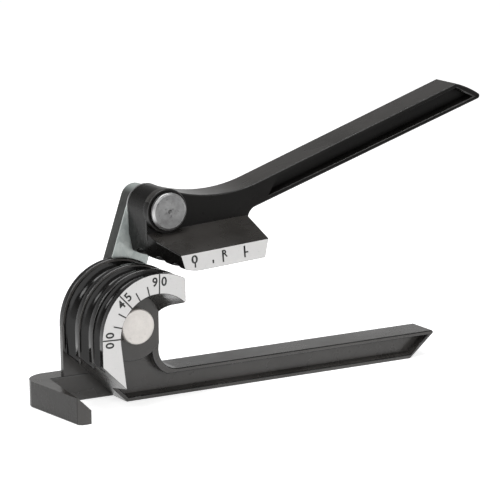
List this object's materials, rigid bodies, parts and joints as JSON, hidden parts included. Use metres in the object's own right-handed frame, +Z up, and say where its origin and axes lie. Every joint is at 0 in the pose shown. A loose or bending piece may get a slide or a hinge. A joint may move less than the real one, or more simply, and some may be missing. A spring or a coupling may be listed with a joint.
{
  "type": "hand tube bender",
  "caption": "Lever tube bender: a grooved form head with a hook on one handle, a grooved shoe on the other, and a link bar that swings the shoe round the form.",
  "frame": {"origin": "on the resting face, straight below the form axis, at the middle of the handles' thickness", "axes": "+X towards the handle ends, +Y from the scale face towards the link, +Z up from the resting face"},
  "size_m": [0.1776, 0.0422, 0.0996],
  "materials": {
    "black_casting": "die cast, satin black paint, bare machined scale faces",
    "zinc_plate": "zinc plated",
    "pin_steel": "turned",
    "bush_bronze": "sintered bronze",
    "washer_steel": "plain"
  },
  "bodies": {
    "lower_handle": {"lower_handle": "black_casting", "form_bush": "bush_bronze"},
    "link": {"link_bar": "zinc_plate", "form_pin": "pin_steel", "handle_pin": "pin_steel", "form_thrust_washer": "washer_steel", "handle_thrust_washer": "washer_steel", "form_spring_washer": "washer_steel", "handle_spring_washer": "washer_steel"},
    "upper_handle": {"upper_handle": "black_casting", "handle_bush": "bush_bronze"}
  },
  "joints": [
    {"name": "link_swing", "type": "hinge", "parent": "lower_handle", "child": "link", "pos_m": [0, 0, 0.0274], "axis": [0, 1, 0], "range_deg": [-95, 28]},
    {"name": "handle_swing", "type": "hinge", "parent": "link", "child": "upper_handle", "pos_m": [0.01352, 0, 0.06621], "axis": [0, 1, 0], "range_deg": [-90, 8]}
  ]
}
